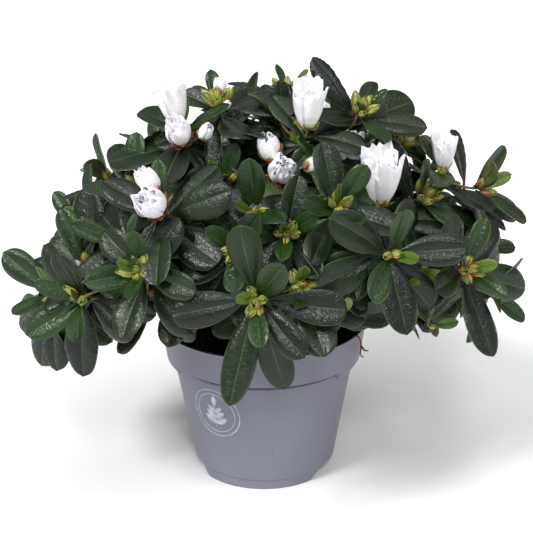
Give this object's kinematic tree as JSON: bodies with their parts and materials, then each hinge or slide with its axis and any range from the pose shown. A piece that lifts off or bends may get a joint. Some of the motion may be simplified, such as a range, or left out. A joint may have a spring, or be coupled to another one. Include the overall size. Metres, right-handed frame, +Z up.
{
  "type": "potted azalea shrub",
  "caption": "Low, spreading evergreen shrub with dark oval leaves and ruffled white flowers, growing in a round tapered plastic pot that it stands on.",
  "frame": {"origin": "the middle of the pot's flat underside, where it stands", "axes": "+Z up the pot's axis, -Y towards the front of the plant, +X to the right seen from the front"},
  "size_m": [0.2982, 0.2625, 0.2474],
  "materials": {
    "pot": "satin moulded grey polypropylene",
    "soil": "moist dark peat",
    "bark": "thin rough grey-brown bark",
    "foliage": "glossy dark green leaves with a sunk midrib"
  },
  "bodies": {
    "root": {"pot": "pot", "soil": "soil", "trunk": "bark", "bough_front": "bark", "bough_front_right": "bark", "bough_right": "bark", "bough_back_right": "bark", "bough_back": "bark", "bough_back_left": "bark", "bough_left": "bark", "bough_front_left": "bark", "bough_upper_right": "bark", "bough_upper_left": "bark", "foliage_low_front": "foliage", "foliage_low_front_right": "foliage", "foliage_low_right": "foliage", "foliage_low_back_right": "foliage", "foliage_low_back": "foliage", "foliage_low_back_left": "foliage", "foliage_low_left": "foliage", "foliage_low_front_left": "foliage", "foliage_middle_front_right": "foliage", "foliage_middle_right": "foliage", "foliage_middle_back": "foliage", "foliage_middle_left": "foliage", "foliage_middle_front_left": "foliage", "foliage_top_right": "foliage", "foliage_top_left": "foliage", "foliage_top_back": "foliage"}
  },
  "joints": []
}
